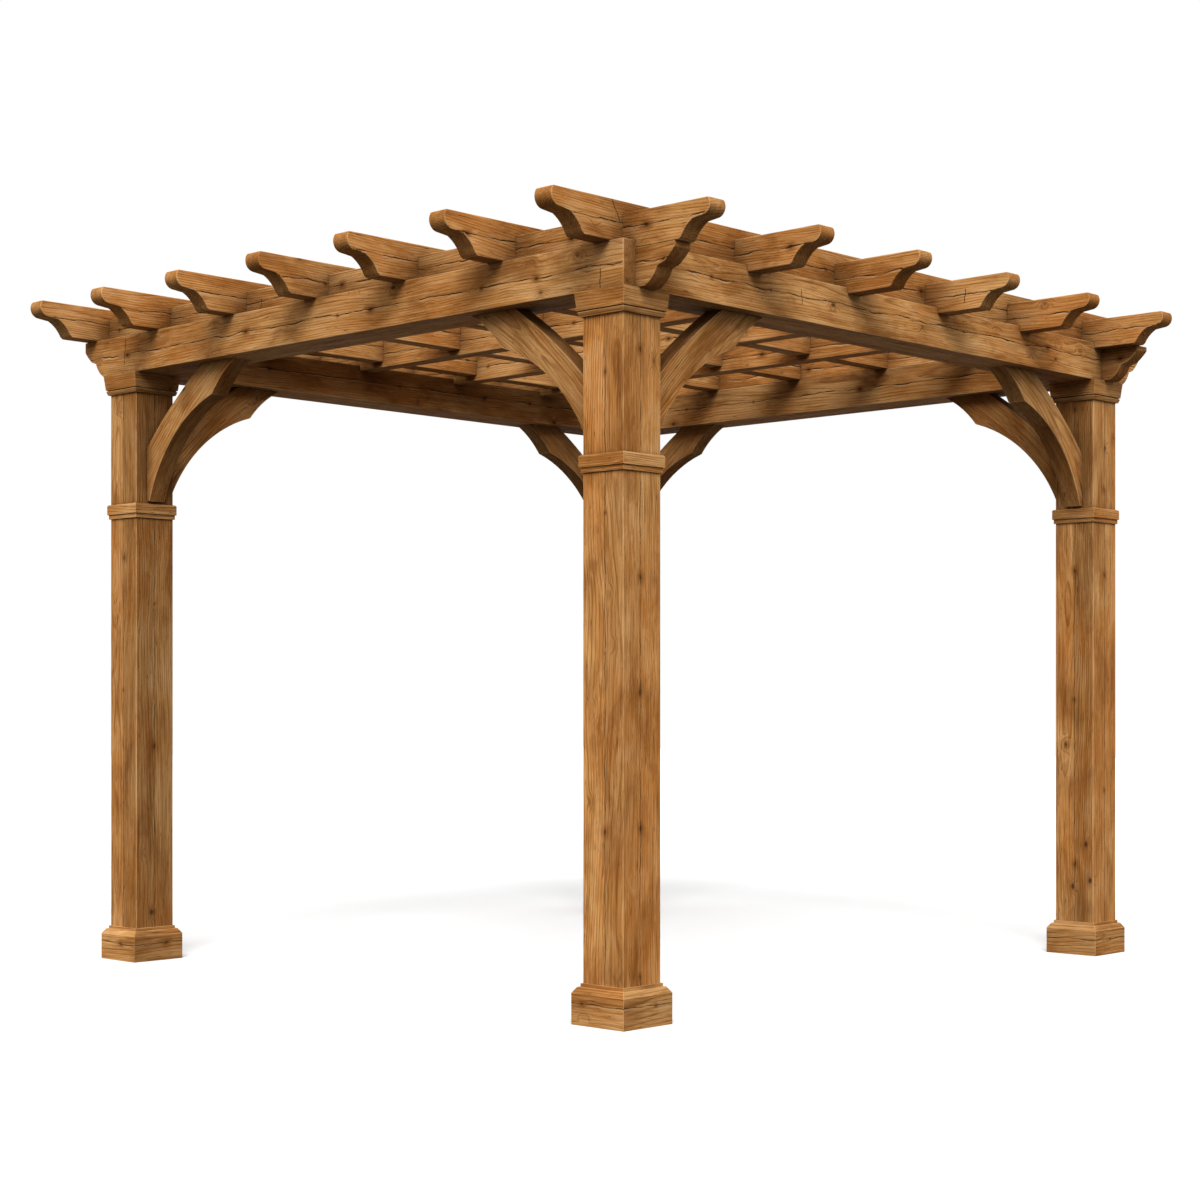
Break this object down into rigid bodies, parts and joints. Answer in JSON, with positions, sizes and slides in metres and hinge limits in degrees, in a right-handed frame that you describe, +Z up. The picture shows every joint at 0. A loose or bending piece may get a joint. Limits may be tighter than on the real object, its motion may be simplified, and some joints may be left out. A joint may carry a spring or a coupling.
{
  "type": "wooden pergola",
  "caption": "Free-standing timber pergola: square posts with base trims, collars and capitals, curved knee braces, planked beams and an open lattice of lapped timbers with shaped tails.",
  "frame": {"origin": "centre of the footprint, on the ground", "axes": "+Z up, +X along the upper roof timbers (west to east), +Y along the lower roof timbers (south to north)"},
  "size_m": [3.6782, 3.6002, 2.74],
  "materials": {
    "post_wood": "stained, satin",
    "trim_wood": "stained, satin",
    "beam_wood": "stained, satin",
    "brace_wood": "stained, satin",
    "roof_wood": "stained, satin"
  },
  "bodies": {
    "root": {"base_trim_northeast": "trim_wood", "base_trim_northwest": "trim_wood", "base_trim_southeast": "trim_wood", "base_trim_southwest": "trim_wood", "beam_east": "beam_wood", "beam_east_cheeks": "beam_wood", "beam_north": "beam_wood", "beam_north_cheeks": "beam_wood", "beam_south": "beam_wood", "beam_south_cheeks": "beam_wood", "beam_west": "beam_wood", "beam_west_cheeks": "beam_wood", "brace_northeast_to_south": "brace_wood", "brace_northeast_to_west": "brace_wood", "brace_northwest_to_east": "brace_wood", "brace_northwest_to_south": "brace_wood", "brace_southeast_to_north": "brace_wood", "brace_southeast_to_west": "brace_wood", "brace_southwest_to_east": "brace_wood", "brace_southwest_to_north": "brace_wood", "capital_northeast": "trim_wood", "capital_northwest": "trim_wood", "capital_southeast": "trim_wood", "capital_southwest": "trim_wood", "collar_northeast": "trim_wood", "collar_northwest": "trim_wood", "collar_southeast": "trim_wood", "collar_southwest": "trim_wood", "joist_1": "roof_wood", "joist_2": "roof_wood", "joist_3": "roof_wood", "joist_4": "roof_wood", "joist_5": "roof_wood", "joist_6": "roof_wood", "post_northeast": "post_wood", "post_northwest": "post_wood", "post_southeast": "post_wood", "post_southwest": "post_wood", "rafter_1": "roof_wood", "rafter_2": "roof_wood", "rafter_3": "roof_wood", "rafter_4": "roof_wood", "rafter_5": "roof_wood", "rafter_6": "roof_wood", "rafter_7": "roof_wood"}
  },
  "joints": []
}
